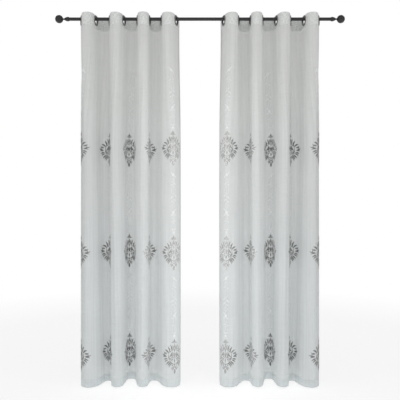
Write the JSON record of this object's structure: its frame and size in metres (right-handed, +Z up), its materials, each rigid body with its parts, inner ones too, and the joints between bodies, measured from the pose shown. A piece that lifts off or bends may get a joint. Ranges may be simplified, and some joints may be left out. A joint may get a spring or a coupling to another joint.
{
  "type": "pair of sheer voile curtains on a rod",
  "caption": "Sheer voile curtains with eyelet headings, grey embroidered medallions and pale garlands, hanging in soft folds from a slim black rod with ball finials.",
  "frame": {"origin": "middle of the rod's axis, which its brackets hold", "axes": "+X along the rod, +Y from the room towards the window, +Z up"},
  "size_m": [1.68, 0.185, 2.1362],
  "materials": {
    "voile": "sheer plain weave, matt with a soft sheen",
    "heading": "double voile over a stiff band, matt",
    "eyelet": "dark nickel, satin",
    "rod": "satin black"
  },
  "bodies": {
    "root": {"rod": "rod", "finial_left": "rod", "finial_right": "rod", "panel_left": "voile", "heading_left": "heading", "eyelet_left_1": "eyelet", "eyelet_left_2": "eyelet", "eyelet_left_3": "eyelet", "eyelet_left_4": "eyelet", "eyelet_left_5": "eyelet", "eyelet_left_6": "eyelet", "eyelet_left_7": "eyelet", "eyelet_left_8": "eyelet", "panel_right": "voile", "heading_right": "heading", "eyelet_right_1": "eyelet", "eyelet_right_2": "eyelet", "eyelet_right_3": "eyelet", "eyelet_right_4": "eyelet", "eyelet_right_5": "eyelet", "eyelet_right_6": "eyelet", "eyelet_right_7": "eyelet", "eyelet_right_8": "eyelet"}
  },
  "joints": []
}
